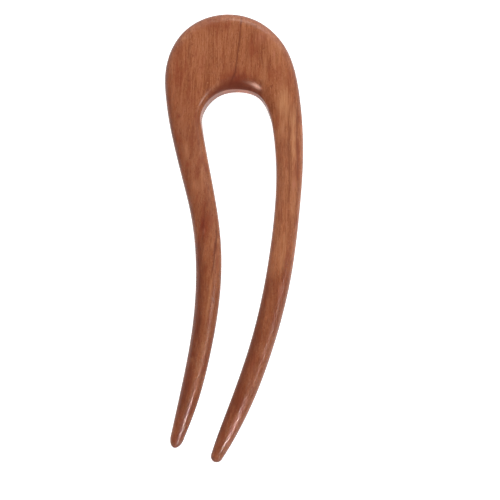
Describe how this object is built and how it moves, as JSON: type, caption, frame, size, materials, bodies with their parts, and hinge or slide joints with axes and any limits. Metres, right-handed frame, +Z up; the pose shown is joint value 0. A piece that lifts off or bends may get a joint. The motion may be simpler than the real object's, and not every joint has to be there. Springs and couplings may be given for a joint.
{
  "type": "wooden hair fork",
  "caption": "Wooden hair fork with a broad rounded head and an arch between long tapering prongs that sweep to one side; pushed through a bun or twist to hold it.",
  "frame": {"origin": "under the middle of the fork's bounding box, on the surface that it rests on, face up", "axes": "+X to the right seen from the face, +Y from the prong tips to the head, +Z up out of the face"},
  "size_m": [0.0354, 0.1149, 0.0099],
  "materials": {
    "wood": "satin, close-grained red-brown hardwood, oiled and polished"
  },
  "bodies": {
    "root": {"hair_fork": "wood"}
  },
  "joints": []
}
